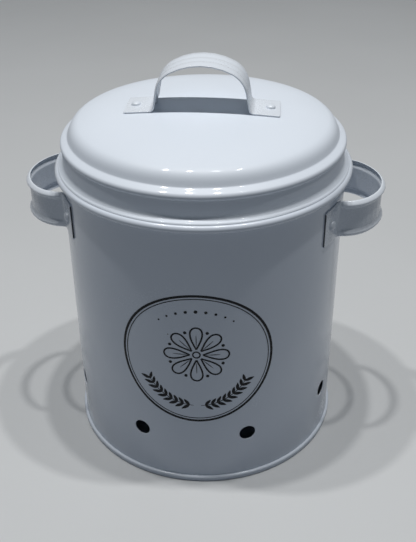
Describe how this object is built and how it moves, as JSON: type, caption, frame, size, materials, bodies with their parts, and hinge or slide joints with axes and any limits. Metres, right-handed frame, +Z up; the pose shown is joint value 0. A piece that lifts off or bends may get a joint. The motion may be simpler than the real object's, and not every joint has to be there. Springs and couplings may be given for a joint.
{
  "type": "onion storage bin",
  "caption": "Round lidded sheet-metal bin for storing onions, with vent holes near the base, riveted side handles and a lift-off domed lid with an arched strap handle.",
  "frame": {"origin": "centre of the circle the bin stands on, at the height of the surface under it", "axes": "+Z up along the axis of the bin, -Y towards the front with the printed roundel, the side handles on +X and -X"},
  "size_m": [0.2322, 0.1884, 0.2585],
  "materials": {
    "bin_paint": "gloss cool white paint on steel",
    "side_handle_paint": "gloss cool white paint on steel strap",
    "lid_paint": "gloss cool white paint on steel",
    "lid_handle_paint": "gloss cool white paint on steel strap",
    "rivet_paint": "gloss cool white paint on rivet heads"
  },
  "bodies": {
    "bin": {"bin_wall": "bin_paint", "base_pan": "bin_paint", "side_handle_right": "side_handle_paint", "side_handle_left": "side_handle_paint", "side_rivet_right_front": "rivet_paint", "side_rivet_right_back": "rivet_paint", "side_rivet_left_back": "rivet_paint", "side_rivet_left_front": "rivet_paint"},
    "lid": {"lid_shell": "lid_paint", "lid_collar": "lid_paint", "lid_handle": "lid_handle_paint", "lid_rivet_right": "rivet_paint", "lid_rivet_left": "rivet_paint"}
  },
  "joints": [
    {"name": "lid_lift", "type": "slide", "parent": "bin", "child": "lid", "axis": [0, 0, 1], "range_m": [0, 0.08]}
  ]
}
